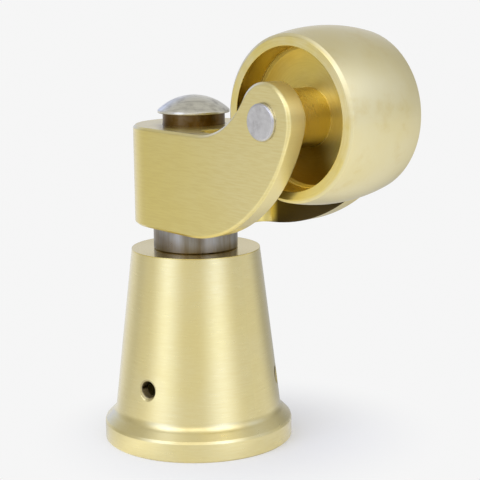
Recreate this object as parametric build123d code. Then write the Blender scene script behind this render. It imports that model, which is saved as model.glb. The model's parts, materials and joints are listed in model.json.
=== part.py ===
from build123d import *
import math
import os

# Furniture castor with a round tapered cup, standing on the mouth of its cup.
# Origin: centre of the cup's mouth. Z is the swivel axis, the horn reaches along +X,
# and the wheel turns on an axle along Y. All lengths are in millimetres.

# Cup that the furniture leg goes into
mouth_d = 31.0
cup_wall = 2.0
cup_taper_deg = 6.8
cup_h = 39.0
cup_end_t = 4.0
rim_d = 38.0
rim_h = 4.0
rim_edge = 0.3
rim_slope_h = 1.4
rim_slope_w = 1.4
flare_h = 1.6
screw_d = 3.3
screw_z = 13.0
screw_count = 3
screw_first_deg = -81.0
screw_countersink = 0.35

# Swivel pin, fixed in the end of the cup
pin_d = 12.3
pin_head_d = 14.2
pin_head_edge = 0.45
pin_dome_h = 2.9
pin_play = 2.3
spigot_d = 8.0
rivet_d = 11.0
rivet_h = 2.2
rivet_slope = 1.6
washer_d = 16.0
washer_t = 1.5
collar_d = 16.8
collar_h = 5.2
collar_edge = 0.2

# Horn: a round hub with two splayed arms
hub_d = 24.0
hub_h = 19.5
arm_t = 4.0
eye_r = 6.9
throat_round = 2.5
top_sweep_r = 16.4
under_sweep_r = 30.8
horn_edge = 0.45

# Wheel and axle
wheel_x = 34.75
wheel_rise = 28.7
wheel_d = 32.1
wheel_w = 19.0
wheel_face_d = 29.8
wheel_shoulder = 0.5
recess_d = 25.7
recess_depth = 5.5
recess_corner = 0.6
boss_d = 10.6
boss_proud = 1.5
boss_chamfer = 0.4
axle_d = 6.6
axle_proud = 0.9
axle_chamfer = 0.25

# Clearances, each on the radius or on one side
fixed_gap = 0.01
swivel_gap = 0.08
swivel_seat_gap = 0.05
axle_gap = 0.06
boss_play = 0.7

# Cutting tools run past the faces by this, and a corner is picked within this of its place
over = 1.0
pick = 0.01

# Heights that follow from the sizes above
mouth_r = mouth_d / 2
rim_r = rim_d / 2
slope = math.tan(math.radians(cup_taper_deg))
socket_z = cup_h - cup_end_t
collar_top = cup_h + collar_h
hub_z = collar_top + swivel_seat_gap
hub_top = hub_z + hub_h
head_z = hub_top + pin_play
wheel_z = cup_h + wheel_rise
hub_r = hub_d / 2
eye_half = wheel_w / 2 + boss_proud + boss_play + arm_t


def socket_r(z):
    """Radius of the tapered socket at a height above the mouth."""
    return mouth_r - slope * z


def shell_r(z):
    """Outer radius of the tapered wall at a height above the mouth."""
    return socket_r(z) + cup_wall


def moved_to_axle(solid):
    """A solid turned about Z, laid along Y with its middle at the wheel's centre."""
    return Pos(wheel_x, 0, wheel_z) * Rot(90, 0, 0) * solid


def make_cup():
    """Cast cup: rim band, slope, flare, tapered wall, closed end with the pin's hole, screw holes."""
    flare_foot = (rim_r - rim_slope_w, rim_h + rim_slope_h)
    flare_z = rim_h + rim_slope_h + flare_h
    bore_r = spigot_d / 2 + fixed_gap
    with BuildPart() as cup:
        with BuildSketch(Plane.XZ) as section:
            with BuildLine():
                Polyline(
                    (shell_r(flare_z), flare_z),
                    (shell_r(cup_h), cup_h),
                    (bore_r, cup_h),
                    (bore_r, socket_z),
                    (socket_r(socket_z), socket_z),
                    (mouth_r, 0),
                    (rim_r, 0),
                    (rim_r, rim_h),
                    flare_foot,
                )
                TangentArc((shell_r(flare_z), flare_z), flare_foot, tangent=(slope, -1))
            make_face()
            outer = section.vertices().filter_by_position(Axis.X, rim_r - pick, rim_r + pick)
            chamfer(outer, rim_edge)
        revolve(axis=Axis.Z)
    shell = cup.part
    drill = Cylinder(screw_d / 2, 4 * cup_wall)
    wide = screw_d / 2 + screw_countersink
    sink = Cone(wide - over, wide + over, 2 * over)
    for i in range(screw_count):
        turn = screw_first_deg + i * 360 / screw_count
        place = Rot(0, 0, turn) * Pos(shell_r(screw_z), 0, screw_z) * Rot(0, 90, 0)
        shell -= place * drill
        shell -= place * sink
    return shell


def make_pin():
    """Steel swivel pin: domed head, shank, spigot through the cup's end, riveted tail."""
    tail_z = socket_z - washer_t
    edge_z = head_z + pin_head_edge
    tail_end = tail_z - rivet_h
    with BuildPart() as pin:
        with BuildSketch(Plane.XZ):
            with BuildLine():
                top = (0, edge_z + pin_dome_h)
                TangentArc(top, (pin_head_d / 2, edge_z), tangent=(1, 0))
                Polyline(
                    (pin_head_d / 2, edge_z),
                    (pin_head_d / 2, head_z),
                    (pin_d / 2, head_z),
                    (pin_d / 2, collar_top),
                    (spigot_d / 2, collar_top),
                    (spigot_d / 2, tail_z),
                    (rivet_d / 2, tail_z),
                    (rivet_d / 2 - rivet_slope, tail_end),
                    (0, tail_end),
                    top,
                )
            make_face()
        revolve(axis=Axis.Z)
    return pin.part


def make_ring(outer_d, inner_r, z, height, edge):
    """Flat ring about the swivel axis with broken edges."""
    ring = Cylinder(outer_d / 2, height) - Cylinder(inner_r, height)
    rims = ring.edges().filter_by(GeomType.CIRCLE).sort_by(SortBy.RADIUS)[-2:]
    return Pos(0, 0, z + height / 2) * chamfer(rims, edge)


def horn_side():
    """Side view of the horn, drawn in the XZ plane: hub, sweeps above and below, round eye."""
    top_rise = hub_top + top_sweep_r - wheel_z
    top_x = wheel_x - math.sqrt((top_sweep_r + eye_r) ** 2 - top_rise ** 2)
    top_c = (top_x, hub_top + top_sweep_r)
    low_drop = wheel_z - hub_z - under_sweep_r
    low_x = wheel_x - math.sqrt((under_sweep_r - eye_r) ** 2 - low_drop ** 2)
    low_c = (low_x, hub_z + under_sweep_r)
    up = Vector(wheel_x - top_c[0], wheel_z - top_c[1]).normalized()
    top_end = Vector(*top_c) + up * top_sweep_r
    out = Vector(wheel_x - low_c[0], wheel_z - low_c[1]).normalized()
    low_end = Vector(*low_c) + out * under_sweep_r
    with BuildSketch(Plane.XZ) as side:
        with BuildLine():
            Polyline((low_x, hub_z), (-hub_r - over, hub_z), (-hub_r - over, hub_top), (top_x, hub_top))
            TangentArc((top_x, hub_top), top_end, tangent=(1, 0))
            TangentArc((low_x, hub_z), low_end, tangent=(1, 0))
            ThreePointArc(top_end, (wheel_x + eye_r, wheel_z), low_end)
        make_face()
    return side.sketch


def horn_plan():
    """Plan of the horn: round hub and two arms that leave it along tangents, filleted inside."""
    reach = math.hypot(wheel_x, eye_half)
    splay = math.asin(eye_half / reach) - math.asin(hub_r / reach)
    length = wheel_x + 2 * eye_r
    arm = Pos(length / 2, arm_t / 2 - hub_r) * Rectangle(length, arm_t)
    near = Rot(0, 0, -math.degrees(splay)) * arm
    plan = Circle(hub_r) + near + mirror(near, Plane.XZ)
    crotch = [v for v in plan.vertices() if 0 < v.X < hub_r and abs(v.Y) < hub_r - arm_t / 2]
    return fillet(crotch, throat_round)


def make_horn():
    """Cast horn: where the side view and the plan meet, bored for the pin and the axle."""
    blank = extrude(horn_side(), amount=eye_half + 2 * over, both=True)
    tall = extrude(Pos(0, 0, hub_z - over) * horn_plan(), amount=wheel_z + eye_r + 2 * over - hub_z)
    horn = blank & tall
    cheeks = [f for f in horn.faces().filter_by(GeomType.PLANE) if abs(f.center().Y) > hub_r]
    rims = [e for f in cheeks for e in f.edges() if e.bounding_box().size.X > over]
    horn = chamfer(rims, horn_edge)
    bore = Pos(0, 0, (hub_z + hub_top) / 2) * Cylinder(pin_d / 2 + swivel_gap, hub_h + 2 * over)
    horn -= bore
    horn -= moved_to_axle(Cylinder(axle_d / 2 + fixed_gap, 2 * (eye_half + 2 * over)))
    return horn


def make_axle():
    """Plain steel axle, riveted flat in the arms and standing a little proud of them."""
    rod = Cylinder(axle_d / 2, 2 * (eye_half + axle_proud))
    rims = rod.edges().filter_by(GeomType.CIRCLE)
    return moved_to_axle(chamfer(rims, axle_chamfer))


def make_wheel():
    """Turned wheel: crowned tread, face ring, deep recess each side, long hub."""
    half = wheel_w / 2
    boss_end = half + boss_proud
    web = half - recess_depth
    bore_r = axle_d / 2 + axle_gap
    with BuildPart() as wheel:
        with BuildSketch(Plane.XZ) as section:
            with BuildLine():
                for s in (-1, 1):
                    Polyline(
                        (bore_r, 0),
                        (bore_r, s * boss_end),
                        (boss_d / 2, s * boss_end),
                        (boss_d / 2, s * web),
                        (recess_d / 2, s * web),
                        (recess_d / 2, s * half),
                        (wheel_face_d / 2, s * half),
                    )
                ThreePointArc((wheel_face_d / 2, -half), (wheel_d / 2, 0), (wheel_face_d / 2, half))
            make_face()
            corners = section.vertices()
            roots = corners.filter_by_position(Axis.X, boss_d / 2 + over, recess_d / 2 + pick)
            chamfer(roots.filter_by_position(Axis.Y, -web - pick, web + pick), recess_corner)
            shoulders = section.vertices().filter_by_position(
                Axis.X, wheel_face_d / 2 - pick, wheel_face_d / 2 + pick
            )
            chamfer(shoulders, wheel_shoulder)
            ends = section.vertices().filter_by_position(Axis.X, boss_d / 2 - pick, boss_d / 2 + pick)
            ends = [v for v in ends if abs(v.Y) > half]
            chamfer(ends, boss_chamfer)
        revolve(axis=Axis.Z)
    return moved_to_axle(wheel.part)


pieces = {
    "cup": make_cup(),
    "swivel_pin": make_pin(),
    "collar": make_ring(collar_d, spigot_d / 2 + fixed_gap, cup_h, collar_h, collar_edge),
    "rivet_washer": make_ring(
        washer_d, spigot_d / 2 + fixed_gap, socket_z - washer_t, washer_t, collar_edge
    ),
    "horn": make_horn(),
    "axle": make_axle(),
    "wheel": make_wheel(),
}

os.makedirs("parts", exist_ok=True)
for name, piece in pieces.items():
    export_step(piece, f"parts/{name}.step")
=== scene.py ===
from collections import namedtuple
import json
import math

import bpy
from mathutils import Matrix, Vector


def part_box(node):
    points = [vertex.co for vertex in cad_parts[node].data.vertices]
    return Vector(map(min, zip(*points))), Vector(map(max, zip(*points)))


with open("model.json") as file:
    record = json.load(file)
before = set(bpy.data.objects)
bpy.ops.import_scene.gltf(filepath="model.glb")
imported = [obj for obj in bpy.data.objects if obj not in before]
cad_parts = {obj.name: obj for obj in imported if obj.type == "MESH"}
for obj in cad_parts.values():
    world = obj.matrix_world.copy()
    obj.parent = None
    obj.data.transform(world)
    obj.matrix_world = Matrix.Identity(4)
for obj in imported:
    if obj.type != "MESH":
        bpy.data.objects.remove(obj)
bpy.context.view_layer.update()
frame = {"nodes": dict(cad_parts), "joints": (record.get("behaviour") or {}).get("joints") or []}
nodes = frame["nodes"]
joints = {joint["name"]: joint for joint in frame["joints"]}

MM = 0.001
AXIS_Y = (0.0, 1.0, 0.0)
AXIS_Z = (0.0, 0.0, 1.0)
ORIGIN = Vector((0.0, 0.0, 0.0))
WHEEL_CENTRE = Vector(joints["wheel_spin"]["pos_m"])

# Camera: where it stands, where it looks, and its lens, for a square frame of 480 pixels
STAND_AZ_DEG = 47.45
STAND_DISTANCE = 288.4 * MM
STAND_HEIGHT = 94.96 * MM
LOOK_AZ_DEG = 45.69
LOOK_DOWN_DEG = 10.756
ROLL_DEG = -0.641
FRAME_PX = 480
FOCAL_PX = 1464.0
SENSOR_MM = 36.0
CLIP_NEAR = 10 * MM
CLIP_FAR = 50.0

# Level directions as the picture shows them
TO_THE_RIGHT = (0.70, 0.71, 0.0)
TO_THE_LEFT = (-0.70, -0.71, 0.0)
TO_THE_CAMERA = (0.71, -0.70, 0.0)

# Metals, as linear colours
BRASS = (0.91, 0.755, 0.245)
BRASS_DEEP = (0.78, 0.60, 0.15)
BRASS_PALE = (0.93, 0.845, 0.51)
# Painted shade in the cup's screw holes and on their lips
BRASS_HOLE_SHADE = (0.20, 0.14, 0.06)
# Deeper colour painted into the wheel's recess, as its shade and the light bounced between its walls
BRASS_RECESS = (0.83, 0.635, 0.15)
# Painted shade between the horn's arms
BRASS_PAINTED_SHADE = (0.05, 0.032, 0.014)
# Painted light and shade on the horn: its hub darker, its arms lighter
HORN_HUB_SHADED = (0.92, 0.745, 0.165)
HORN_ARM_LIT = (1.0, 0.865, 0.39)
STEEL = (0.90, 0.88, 0.76)
STEEL_DARK = (0.21, 0.18, 0.15)
# Dark brown: painted shade and reflection on the pin's shank, and the colour the collar turns towards its
# foot
STEEL_BROWN = (0.115, 0.062, 0.011)
COLLAR_LIGHT = (0.41, 0.405, 0.395)
COLLAR_DARK = (0.23, 0.19, 0.125)
AXLE_LIGHT = (0.74, 0.73, 0.73)
AXLE_DARK = (0.62, 0.61, 0.61)


class Tree:
    """A node tree with short calls for the nodes that the materials and the world use."""

    def __init__(self, owner):
        owner.use_nodes = True
        self.tree = owner.node_tree
        self.tree.nodes.clear()

    def add(self, kind, inputs=None, **settings):
        """A new node. An input is a value, or an output socket that it is linked to."""
        node = self.tree.nodes.new(kind)
        for key, value in settings.items():
            setattr(node, key, value)
        for key, value in (inputs or {}).items():
            if isinstance(value, bpy.types.NodeSocket):
                self.tree.links.new(value, node.inputs[key])
            else:
                node.inputs[key].default_value = value
        return node

    def math(self, operation, *values):
        node = self.add("ShaderNodeMath", dict(enumerate(values)), operation=operation)
        return node.outputs[0]

    def plus(self, a, b):
        return self.math("ADD", a, b)

    def minus(self, a, b):
        return self.math("SUBTRACT", a, b)

    def times(self, a, b):
        return self.math("MULTIPLY", a, b)

    def absolute(self, value):
        return self.math("ABSOLUTE", value)

    def larger(self, a, b):
        return self.math("MAXIMUM", a, b)

    def vector(self, operation, *values):
        """A vector operation's result, a number for those that give one."""
        node = self.add("ShaderNodeVectorMath", dict(enumerate(values)), operation=operation)
        gives_number = operation in ("DISTANCE", "DOT_PRODUCT", "LENGTH")
        return node.outputs["Value" if gives_number else "Vector"]

    def scaled(self, vector, factor):
        node = self.add("ShaderNodeVectorMath", {"Vector": vector, "Scale": factor}, operation="SCALE")
        return node.outputs["Vector"]

    def join(self, x, y, z):
        return self.add("ShaderNodeCombineXYZ", {"X": x, "Y": y, "Z": z}).outputs[0]

    def parts(self, vector):
        node = self.add("ShaderNodeSeparateXYZ", {0: vector})
        return node.outputs["X"], node.outputs["Y"], node.outputs["Z"]

    def ramp(self, value, low, high, to_low=0.0, to_high=1.0, smooth=True):
        """A value brought from the range low..high to another, held at its ends."""
        kind = "SMOOTHSTEP" if smooth else "LINEAR"
        inputs = {"Value": value, "From Min": low, "From Max": high, "To Min": to_low, "To Max": to_high}
        return self.add("ShaderNodeMapRange", inputs, interpolation_type=kind).outputs["Result"]

    def within(self, distance, radius, fade):
        """1 within a radius, falling to 0 between the two distances past it that fade gives."""
        return self.ramp(distance, radius + fade[1], radius + fade[0])

    def blend(self, factor, a, b):
        """A number between a and b."""
        return self.add("ShaderNodeMix", {"Factor": factor, "A": a, "B": b}).outputs[0]

    def mix(self, factor, a, b):
        """A colour between a and b."""
        node = self.add("ShaderNodeMix", {"Factor": factor}, data_type="RGBA")
        for socket, colour in zip([s for s in node.inputs if s.type == "RGBA"], (a, b)):
            if isinstance(colour, bpy.types.NodeSocket):
                self.tree.links.new(colour, socket)
            else:
                socket.default_value = (*colour, 1.0)
        return next(s for s in node.outputs if s.type == "RGBA")

    def noise(self, vector, scale=1.0, detail=3.0, rough=0.6):
        inputs = {"Vector": vector, "Scale": scale, "Detail": detail, "Roughness": rough}
        return self.add("ShaderNodeTexNoise", inputs).outputs["Fac"]


def make_camera():
    """The camera at the photograph's viewing angle."""
    data = bpy.data.cameras.new("camera")
    data.sensor_width = SENSOR_MM
    data.lens = FOCAL_PX / FRAME_PX * SENSOR_MM
    data.clip_start = CLIP_NEAR
    data.clip_end = CLIP_FAR
    camera = bpy.data.objects.new("camera", data)
    stand = math.radians(STAND_AZ_DEG)
    place = Vector((STAND_DISTANCE * math.sin(stand), -STAND_DISTANCE * math.cos(stand), STAND_HEIGHT))
    turn = Matrix.Rotation(math.radians(LOOK_AZ_DEG), 4, "Z")
    tilt = Matrix.Rotation(math.radians(90 - LOOK_DOWN_DEG), 4, "X")
    roll = Matrix.Rotation(math.radians(ROLL_DEG), 4, "Z")
    camera.matrix_world = Matrix.Translation(place) @ turn @ tilt @ roll
    bpy.context.scene.collection.objects.link(camera)
    bpy.context.scene.camera = camera


# Soft panels of light. Each has its azimuth, from the side the camera stands on round to the right of the
# picture, its elevation, half width, half height and softness, all in degrees, and its strength
PANELS = (
    (-49.0, 14.0, 15.0, 40.0, 18.0, 0.64),
    (36.0, 14.0, 15.0, 40.0, 18.0, 0.60),
    (88.0, 28.0, 16.0, 10.0, 14.0, 0.30),
    (-152.0, 4.0, 16.0, 30.0, 16.0, 0.26),
    (180.0, 20.0, 34.0, 20.0, 20.0, 0.05),
)
# Parts of the room that are brighter, in its own colour: the same figures
BRIGHT_PARTS = (
    (0.0, 40.0, 70.0, 10.0, 20.0, 1.55),
    (180.0, 14.0, 40.0, 10.0, 14.0, 0.15),
)
# Parts of the room that are darker: the same figures, the last as the share of the light that is lost
DARK_PARTS = (
    (141.0, 6.0, 16.0, 24.0, 15.0, 0.40),
    (148.0, -4.0, 18.0, 20.0, 12.0, 0.24),
    (-108.0, 0.0, 10.0, 30.0, 14.0, 0.24),
    (-152.0, 0.0, 16.0, 30.0, 16.0, 0.36),
)
# The panels are bluer than the room, so that yellow metal has pale highlights
ROOM_COLOUR = (1.0, 0.985, 0.95, 1.0)
PANEL_COLOUR = (0.80, 1.10, 2.30, 1.0)
# The room's level low down and high up, and the elevations between which it changes
ROOM_LOW = 0.52
ROOM_HIGH = 0.50
ROOM_RISE_DEG = (14.0, 62.0)


def azimuth_of(t, x, y):
    """Azimuth of a direction, from the front of the part round to its right."""
    return t.math("ARCTAN2", x, t.times(y, -1.0))


def band(t, azimuth, az, half_w, soft):
    """1 in a soft-edged range of azimuths, given from the camera's own, and 0 away from it."""
    aside = t.minus(azimuth, math.radians(LOOK_AZ_DEG + az))
    aside = t.absolute(t.math("WRAP", aside, math.pi, -math.pi))
    return t.ramp(aside, math.radians(half_w + soft), math.radians(half_w - soft))


def make_world():
    """The studio: a dim, even room with brighter and darker parts, and soft panels of light."""
    world = bpy.data.worlds.new("studio")
    bpy.context.scene.world = world
    t = Tree(world)
    x, y, z = t.parts(t.add("ShaderNodeTexCoord").outputs["Generated"])
    azimuth = azimuth_of(t, x, y)
    elevation = t.math("ARCSINE", z)

    def patch(az, el, half_w, half_h, soft):
        """1 inside a soft-edged rectangle of directions, and 0 away from it."""
        above = t.absolute(t.minus(elevation, math.radians(el)))
        along = t.ramp(above, math.radians(half_h + soft), math.radians(half_h - soft))
        return t.times(band(t, azimuth, az, half_w, soft), along)

    low, high = (math.radians(v) for v in ROOM_RISE_DEG)
    room = t.ramp(elevation, low, high, ROOM_LOW, ROOM_HIGH)
    for *where, gain in BRIGHT_PARTS:
        room = t.plus(room, t.times(patch(*where), gain))
    for *where, share in DARK_PARTS:
        room = t.times(room, t.ramp(patch(*where), 0.0, 1.0, 1.0, 1.0 - share, smooth=False))
    level = 0.0
    for *where, gain in PANELS:
        level = t.plus(level, t.times(patch(*where), gain))
    dim = t.add("ShaderNodeBackground", {"Color": ROOM_COLOUR, "Strength": room})
    bright = t.add("ShaderNodeBackground", {"Color": PANEL_COLOUR, "Strength": level})
    sky = t.add("ShaderNodeAddShader", {0: dim.outputs[0], 1: bright.outputs[0]})
    t.add("ShaderNodeOutputWorld", {"Surface": sky.outputs[0]})


FLOOR_RADIUS = 12.0
FLOOR_SIDES = 96
FLOOR_COLOUR = (0.96, 0.965, 0.985, 1.0)
# Distances from the shadow's middle between which the floor turns into the plain backdrop: first as the
# camera sees it, then as metal mirrors it
SHADOW_MIDDLE = (5.6 * MM, 5.7 * MM, 0.0)
FLOOR_NEAR = 2 * MM
FLOOR_FAR = 43 * MM
MIRROR_NEAR = 16 * MM
MIRROR_FAR = 36 * MM
# The backdrop's level as the camera sees it, and as metal mirrors it. Mirrored, it is lighter or darker in
# bands: azimuth as for the panels, half width and softness in degrees, and the change of level
BACKDROP_COLOUR = (1.0, 1.0, 1.0, 1.0)
BACKDROP_LEVEL = 0.92
MIRRORED_LEVEL = 0.78
MIRRORED_BANDS = (
    (-49.0, 15.0, 18.0, 0.38),
    (36.0, 15.0, 18.0, 0.36),
    (141.0, 26.0, 16.0, -0.34),
    (-108.0, 12.0, 14.0, -0.16),
)


def make_floor():
    """A pale floor that keeps the part's shadow and turns into the plain backdrop further out."""
    turns = [2 * math.pi * i / FLOOR_SIDES for i in range(FLOOR_SIDES)]
    rim = [(FLOOR_RADIUS * math.cos(a), FLOOR_RADIUS * math.sin(a), 0.0) for a in turns]
    mesh = bpy.data.meshes.new("floor")
    mesh.from_pydata(rim, [], [list(range(FLOOR_SIDES))])
    floor = bpy.data.objects.new("floor", mesh)
    bpy.context.scene.collection.objects.link(floor)
    material = bpy.data.materials.new("floor")
    mesh.materials.append(material)
    t = Tree(material)
    place = t.add("ShaderNodeTexCoord").outputs["Object"]
    rays = t.add("ShaderNodeLightPath").outputs

    x, y, _ = t.parts(place)
    azimuth = azimuth_of(t, x, y)
    level = MIRRORED_LEVEL
    for *where, change in MIRRORED_BANDS:
        level = t.math("MULTIPLY_ADD", band(t, azimuth, *where), change, level)
    level = t.ramp(rays["Is Camera Ray"], 0.0, 1.0, level, BACKDROP_LEVEL, smooth=False)

    off = t.vector("DISTANCE", place, SHADOW_MIDDLE)
    seen = t.times(t.ramp(off, FLOOR_NEAR, FLOOR_FAR), rays["Is Camera Ray"])
    in_metal = t.larger(rays["Is Glossy Ray"], rays["Is Transmission Ray"])
    mirrored = t.times(t.ramp(off, MIRROR_NEAR, MIRROR_FAR), in_metal)

    matt = t.add("ShaderNodeBsdfDiffuse", {"Color": FLOOR_COLOUR})
    plain = t.add("ShaderNodeEmission", {"Color": BACKDROP_COLOUR, "Strength": level})
    share = t.plus(seen, mirrored)
    surface = t.add("ShaderNodeMixShader", {0: share, 1: matt.outputs[0], 2: plain.outputs[0]})
    t.add("ShaderNodeOutputMaterial", {"Surface": surface.outputs[0]})


# How many times closer turning marks lie along the radius than along the axis
RADIAL_MARKS = 1.37
# The finish of all metals: samples of the rounded edges, depth and strength of the marks, the film's gloss
EDGE_SAMPLES = 6
MARK_DEPTH = 0.02 * MM
MARK_STRENGTH = 0.25
FILM_ROUGHNESS = 0.22

Lathe = namedtuple("Lathe", "axis place along radius spoke across")


def turned(t, centre, axis):
    """Coordinates about a lathe axis: the axis, the place from its centre, the height along it, the distance
    and the direction from it, and the direction in which turning marks spread a highlight."""
    coords = t.add("ShaderNodeTexCoord").outputs
    place = t.vector("SUBTRACT", coords["Object"], tuple(centre))
    along = t.vector("DOT_PRODUCT", place, axis)
    spoke = t.vector("SUBTRACT", place, t.scaled(axis, along))
    radius = t.vector("LENGTH", spoke)
    spoke = t.vector("NORMALIZE", spoke)
    across = t.vector("CROSS_PRODUCT", coords["Normal"], t.vector("CROSS_PRODUCT", axis, spoke))
    return Lathe(axis, place, along, radius, spoke, across)


def to_world(t, vector):
    """A direction of the object as a direction of the world."""
    node = t.add(
        "ShaderNodeVectorTransform", {"Vector": vector},
        vector_type="VECTOR", convert_from="OBJECT", convert_to="WORLD",
    )
    return node.outputs[0]


def turning_marks(t, lathe, fine, breaks=1.3):
    """Noise drawn out into fine rings about the lathe axis. More breaks cut them shorter."""
    step = t.plus(lathe.along, t.times(lathe.radius, RADIAL_MARKS))
    rings = t.scaled(lathe.axis, t.times(step, fine))
    return t.noise(t.vector("ADD", t.scaled(lathe.spoke, breaks), rings), rough=0.65)


def finish_metal(t, colour, roughness, marks, tangent, anisotropy, edge, film=0.0, film_ior=1.5):
    """The shader of a metal with a direction in its finish, slightly rounded edges and a clear film."""
    rounded = t.add("ShaderNodeBevel", {"Radius": edge}, samples=EDGE_SAMPLES)
    normal = t.add("ShaderNodeBump", {
        "Height": marks, "Distance": MARK_DEPTH, "Strength": MARK_STRENGTH, "Normal": rounded.outputs[0],
    })
    shader = t.add("ShaderNodeBsdfPrincipled", {
        "Base Color": colour, "Metallic": 1.0, "Roughness": roughness, "Normal": normal.outputs[0],
        "Tangent": to_world(t, tangent), "Anisotropic": anisotropy,
        "Coat Weight": film, "Coat Roughness": FILM_ROUGHNESS, "Coat IOR": film_ior,
    })
    t.add("ShaderNodeOutputMaterial", {"Surface": shader.outputs[0]})


def brass_colour(t, place, marks, clouds, cloudy):
    """Brass under a cloudy patina and darker in its finer marks. Gives the noise of the clouds too."""
    patina = t.noise(place, scale=clouds, detail=4.0, rough=0.55)
    colour = t.mix(t.ramp(patina, 0.38, 0.62, 0.0, cloudy), BRASS, BRASS_PALE)
    return t.mix(t.ramp(marks, 0.30, 0.70, 0.0, 0.45, smooth=False), colour, BRASS_DEEP), patina


# The cup's screw holes, and how far past each its painted shade and its lip's painted shade and roughness
# fade
SCREW_TURNS_DEG = (-81.0, 39.0, 159.0)
SCREW_HEIGHT = 13.0 * MM
SCREW_RADIUS = 1.65 * MM
HOLE_FADE = (0.04 * MM, 0.14 * MM)
LIP_FADE = (0.36 * MM, 0.42 * MM)


def screw_holes(t, place):
    """1 in the screw holes, and 1 in them and on their lips: masks for painted shade, and on the lips for
    more roughness.
    """
    hole = lip = 0.0
    level = t.vector("SUBTRACT", place, (0.0, 0.0, SCREW_HEIGHT))
    for turn in SCREW_TURNS_DEG:
        out = (math.cos(math.radians(turn)), math.sin(math.radians(turn)), 0.0)
        off = t.vector("LENGTH", t.vector("CROSS_PRODUCT", level, out))
        side = t.ramp(t.vector("DOT_PRODUCT", place, out), 0.0, 1.0 * MM)
        hole = t.larger(hole, t.times(t.within(off, SCREW_RADIUS, HOLE_FADE), side))
        lip = t.larger(lip, t.times(t.within(off, SCREW_RADIUS, LIP_FADE), side))
    return hole, lip


def cup_brass():
    """The cup's brass: turned, brushed round its wall and smoother on its closed end, which is painted
    darker as a painted reflection of the dark collar standing on it.
    """
    material = bpy.data.materials.new("cup_brass")
    t = Tree(material)
    lathe = turned(t, ORIGIN, AXIS_Z)
    rings = turning_marks(t, lathe, fine=3400.0, breaks=5.0)
    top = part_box("cup")[1].z
    end = t.ramp(lathe.along, top - 0.3 * MM, top - 0.1 * MM)
    hole, lip = screw_holes(t, lathe.place)

    colour, _ = brass_colour(t, lathe.place, rings, clouds=60.0, cloudy=0.3)
    colour = t.mix(0.32, colour, BRASS_PALE)
    # Painted reflection: the closed end darker, for the dark collar it mirrors
    colour = t.mix(t.times(end, 0.5), colour, BRASS_DEEP)
    # Painted shade: the lips a little darker and the holes dark
    colour = t.mix(t.times(lip, 0.25), colour, BRASS_HOLE_SHADE)
    colour = t.mix(t.times(hole, 0.85), colour, BRASS_HOLE_SHADE)

    rough = t.ramp(rings, 0.25, 0.75, 0.26, 0.34, smooth=False)
    rough = t.minus(rough, t.times(end, 0.12))
    rough = t.plus(rough, t.times(lip, 0.30))
    film = t.math("MULTIPLY_ADD", end, -0.75, 1.0)
    finish_metal(
        t, colour, rough, t.times(rings, 0.5), lathe.across,
        anisotropy=0.8, edge=0.14 * MM, film=film, film_ior=1.7,
    )
    return material


# The wheel's shape, and how far past the walls of its recess and its boss each one's finish fades
WHEEL_HALF_WIDTH = 9.5 * MM
RECESS_RADIUS = 12.85 * MM
RECESS_FADE = (0.05 * MM, 0.15 * MM)
BOSS_RADIUS = 5.3 * MM
BOSS_FADE = (0.1 * MM, 0.2 * MM)


def wheel_brass():
    """The wheel's brass: a cloudy, smooth tread, and a deeper colour in the turned recesses, painted in as
    their shade and the light bounced between their walls.
    """
    material = bpy.data.materials.new("wheel_brass")
    t = Tree(material)
    lathe = turned(t, WHEEL_CENTRE, AXIS_Y)
    inside = t.within(lathe.radius, RECESS_RADIUS, RECESS_FADE)
    outside = t.minus(1.0, inside)
    tread = t.ramp(t.absolute(lathe.along), WHEEL_HALF_WIDTH, WHEEL_HALF_WIDTH - 0.3 * MM)
    tread = t.times(tread, outside)
    boss_wall = t.within(lathe.radius, BOSS_RADIUS, BOSS_FADE)
    recess_wall = t.ramp(lathe.radius, RECESS_RADIUS - 0.25 * MM, RECESS_RADIUS - 0.15 * MM)
    walls = t.times(t.larger(boss_wall, recess_wall), inside)
    rings = turning_marks(t, lathe, fine=2600.0, breaks=3.0)
    rings = t.blend(t.times(tread, 0.75), rings, 0.5)

    colour, patina = brass_colour(t, lathe.place, rings, clouds=70.0, cloudy=1.0)
    colour = t.mix(t.times(tread, 0.7), colour, BRASS_PALE)
    stain = t.noise(lathe.place, scale=190.0, detail=4.0)
    colour = t.mix(t.ramp(stain, 0.50, 0.72, 0.0, 0.28), colour, BRASS_DEEP)
    # Painted shade and bounced light: a deeper colour inside the recess
    colour = t.mix(t.times(inside, 0.75), colour, BRASS_RECESS)
    grooves = t.times(t.ramp(rings, 0.38, 0.66, 0.0, 0.45), inside)
    colour = t.mix(grooves, colour, BRASS_DEEP)

    rough = t.ramp(rings, 0.2, 0.8, 0.32, 0.40, smooth=False)
    rough = t.plus(rough, t.ramp(patina, 0.3, 0.7, -0.03, 0.05, smooth=False))
    rough = t.plus(rough, t.times(tread, 0.12))
    rough = t.minus(rough, t.times(walls, 0.13))
    anisotropy = t.math("MULTIPLY_ADD", inside, 0.82, 0.1)
    finish_metal(
        t, colour, rough, rings, lathe.across,
        anisotropy=anisotropy, edge=0.14 * MM, film=t.times(outside, 0.8), film_ior=1.6,
    )
    return material


# Where the arms part from the hub, and how close the brush lines lie along X, Y and Z
ARMS_START = 12.0 * MM
BRUSH_LINES = (260.0, 260.0, 3200.0)
# Painted light: the colour goes from the hub's darker shade to the arms' lighter one over this range of X
# plus a share of the height, so that the arms and upper parts come out lighter
HUB_TO_ARM = (14.0 * MM, 54.0 * MM)
HEIGHT_SHARE = 0.3


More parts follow.
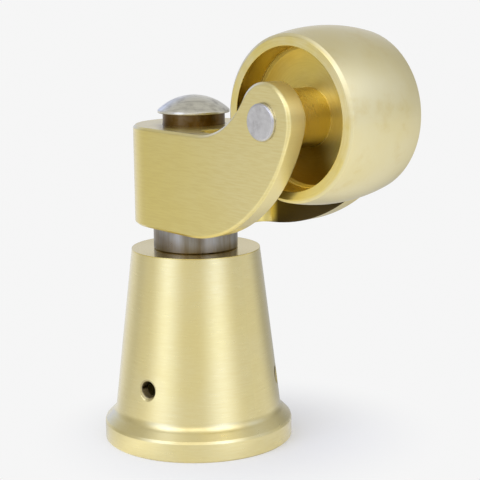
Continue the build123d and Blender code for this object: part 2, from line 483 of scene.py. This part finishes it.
def horn_brass():
    """The horn's brass: brushed level under a clear film on the outside; between the arms no film and
    painted shade, near black and darker on the far arm; and painted light, lighter towards the arms and
    upwards.
    """
    material = bpy.data.materials.new("horn_brass")
    t = Tree(material)
    coords = t.add("ShaderNodeTexCoord").outputs
    place = coords["Object"]
    x, y, z = t.parts(place)
    _, side, _ = t.parts(coords["Normal"])
    edge = t.ramp(t.absolute(side), 0.75, 0.45)
    edge = t.times(edge, t.ramp(x, ARMS_START, ARMS_START + 4.0 * MM))
    facing_out = t.times(side, t.math("SIGN", y))
    inner = t.times(t.ramp(facing_out, -0.55, -0.85), t.ramp(x, ARMS_START, ARMS_START + 2.0 * MM))
    lines = t.noise(t.vector("MULTIPLY", place, BRUSH_LINES), rough=0.65)
    lines = t.blend(t.times(edge, 0.8), lines, 0.5)

    colour, _ = brass_colour(t, place, lines, clouds=80.0, cloudy=0.45)
    # Painted light: lighter from the hub towards the arms and upwards
    painted_light = t.ramp(t.plus(x, t.times(z, HEIGHT_SHARE)), *HUB_TO_ARM)
    colour = t.mix(0.8, colour, t.mix(painted_light, HORN_HUB_SHADED, HORN_ARM_LIT))
    colour = t.mix(t.ramp(lines, 0.38, 0.66, 0.0, 0.22), colour, BRASS_DEEP)
    # Painted shade: the faces between the arms go near black, more so on the far arm
    painted_shade = t.times(inner, t.ramp(y, -1.0 * MM, 1.0 * MM, 0.6, 0.95))
    colour = t.mix(painted_shade, colour, BRASS_PAINTED_SHADE)

    rough = t.ramp(lines, 0.25, 0.75, 0.30, 0.40, smooth=False)
    rough = t.plus(rough, t.times(edge, 0.10))
    tangent = t.join(0.05, edge, t.minus(1.0, edge))
    finish_metal(
        t, colour, rough, t.times(lines, 1.3), tangent,
        anisotropy=0.6, edge=0.45 * MM, film=t.minus(1.0, inner), film_ior=1.65,
    )
    return material


# How close the streaks on the pin's head lie from left to right, towards the camera and upwards
HEAD_STREAKS = (150.0, 900.0, 1500.0)
HEAD_HEIGHT = 3.35 * MM


def pin_steel():
    """The pin's steel: a head dulled in level streaks over a shank painted dark brown in faint patches, as
    painted shade under the head and a painted reflection of the brass around it, with darker stains mostly
    on the head.
    """
    material = bpy.data.materials.new("pin_steel")
    t = Tree(material)
    lathe = turned(t, ORIGIN, AXIS_Z)
    side = t.vector("DOT_PRODUCT", lathe.place, TO_THE_RIGHT)
    deep = t.vector("DOT_PRODUCT", lathe.place, TO_THE_CAMERA)
    streaks = t.vector("MULTIPLY", t.join(side, deep, lathe.along), HEAD_STREAKS)
    streaks = t.noise(streaks, detail=4.0)
    grime = t.noise(lathe.place, scale=400.0, detail=4.0)
    under_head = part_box("swivel_pin")[1].z - HEAD_HEIGHT
    shank = t.ramp(lathe.along, under_head + 0.15 * MM, under_head - 0.05 * MM)

    colour = t.mix(t.ramp(streaks, 0.40, 0.72, 0.0, 0.35), STEEL, STEEL_DARK)
    # Painted shade and reflection: the shank dark brown, in faint patches, for the shade under the head and
    # the brass it mirrors
    brown_patches = t.ramp(t.noise(lathe.place, scale=230.0), 0.40, 0.60, 1.0, 0.94)
    colour = t.mix(t.times(shank, brown_patches), colour, STEEL_BROWN)
    stain = t.ramp(grime, 0.45, 0.75, 0.0, 0.4)
    stain = t.times(stain, t.math("MULTIPLY_ADD", shank, -0.8, 1.0))
    colour = t.mix(stain, colour, STEEL_DARK)

    rough = t.ramp(grime, 0.3, 0.7, 0.27, 0.37, smooth=False)
    finish_metal(t, colour, rough, streaks, lathe.across, anisotropy=0.3, edge=0.25 * MM)
    return material


# How fast the streaks on the side of worn steel change along it, and how close the blotches on its flat
# ends lie
STREAK_CHANGE = 60.0
END_BLOTCHES = 900.0
# Browner colour at a piece's foot: the height at which it ends, the height up to which it is full, how far
# its edge wavers, and how much higher it climbs on the left
BROWN_END = 3.0 * MM
BROWN_FULL = 0.2 * MM
BROWN_WAVER = 1.6 * MM
BROWN_CLIMB = 3.2 * MM


def worn_steel(name, centre, axis, colours, roughness, streaks, edge, anisotropy=0.4, brown_from=None):
    """Steel gone dull: faint turning rings, streaks along it, blotches on its ends, darker stains, and
    a browner colour a short way up from a height where one is given, reaching higher on the left."""
    material = bpy.data.materials.new(name)
    t = Tree(material)
    lathe = turned(t, centre, axis)
    rings = turning_marks(t, lathe, fine=5000.0)
    flat = t.vector("DOT_PRODUCT", t.add("ShaderNodeTexCoord").outputs["Normal"], axis)
    flat = t.ramp(t.absolute(flat), 0.6, 0.8)
    on_side = t.vector("ADD", t.scaled(lathe.spoke, streaks), t.scaled(lathe.place, STREAK_CHANGE))
    on_side = t.scaled(on_side, t.minus(1.0, flat))
    on_end = t.scaled(lathe.place, t.times(flat, END_BLOTCHES))
    wear = t.noise(t.vector("ADD", on_side, on_end))
    grime = t.noise(lathe.place, scale=400.0, detail=4.0)

    colour = t.mix(t.ramp(wear, 0.22, 0.78), *colours)
    colour = t.mix(t.ramp(grime, 0.50, 0.75, 0.0, 0.30), colour, STEEL_DARK)
    # A browner colour a short way up from the foot, reaching higher on the left
    if brown_from is not None:
        climb = t.ramp(t.vector("DOT_PRODUCT", lathe.spoke, TO_THE_LEFT), 0.0, 1.0, 0.0, BROWN_CLIMB)
        height = t.plus(t.minus(lathe.along, climb), t.times(grime, BROWN_WAVER))
        browning = t.ramp(height, brown_from + BROWN_END, brown_from + BROWN_FULL)
        colour = t.mix(t.times(browning, 0.48), colour, STEEL_BROWN)

    rough = t.ramp(grime, 0.3, 0.7, roughness - 0.03, roughness + 0.08, smooth=False)
    finish_metal(t, colour, rough, rings, lathe.across, anisotropy=anisotropy, edge=edge)
    return material


def dress(node, material):
    """Puts a material in every slot of a CAD node."""
    mesh = nodes[node].data
    if not mesh.materials:
        mesh.materials.append(material)
    for i in range(len(mesh.materials)):
        mesh.materials[i] = material


make_camera()
make_world()
make_floor()
dress("cup", cup_brass())
dress("horn", horn_brass())
dress("wheel", wheel_brass())
dress("swivel_pin", pin_steel())
dress("collar", worn_steel(
    "collar_steel", ORIGIN, AXIS_Z, (COLLAR_LIGHT, COLLAR_DARK),
    roughness=0.30, streaks=4.0, edge=0.15 * MM, brown_from=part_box("collar")[0].z,
))
dress("rivet_washer", worn_steel(
    "washer_steel", ORIGIN, AXIS_Z, (STEEL, STEEL_DARK), roughness=0.4, streaks=4.0, edge=0.15 * MM,
))
dress("axle", worn_steel(
    "axle_steel", WHEEL_CENTRE, AXIS_Y, (AXLE_LIGHT, AXLE_DARK),
    roughness=0.30, streaks=3.0, edge=0.2 * MM, anisotropy=0.0,
))

bpy.context.scene.view_settings.view_transform = "Standard"
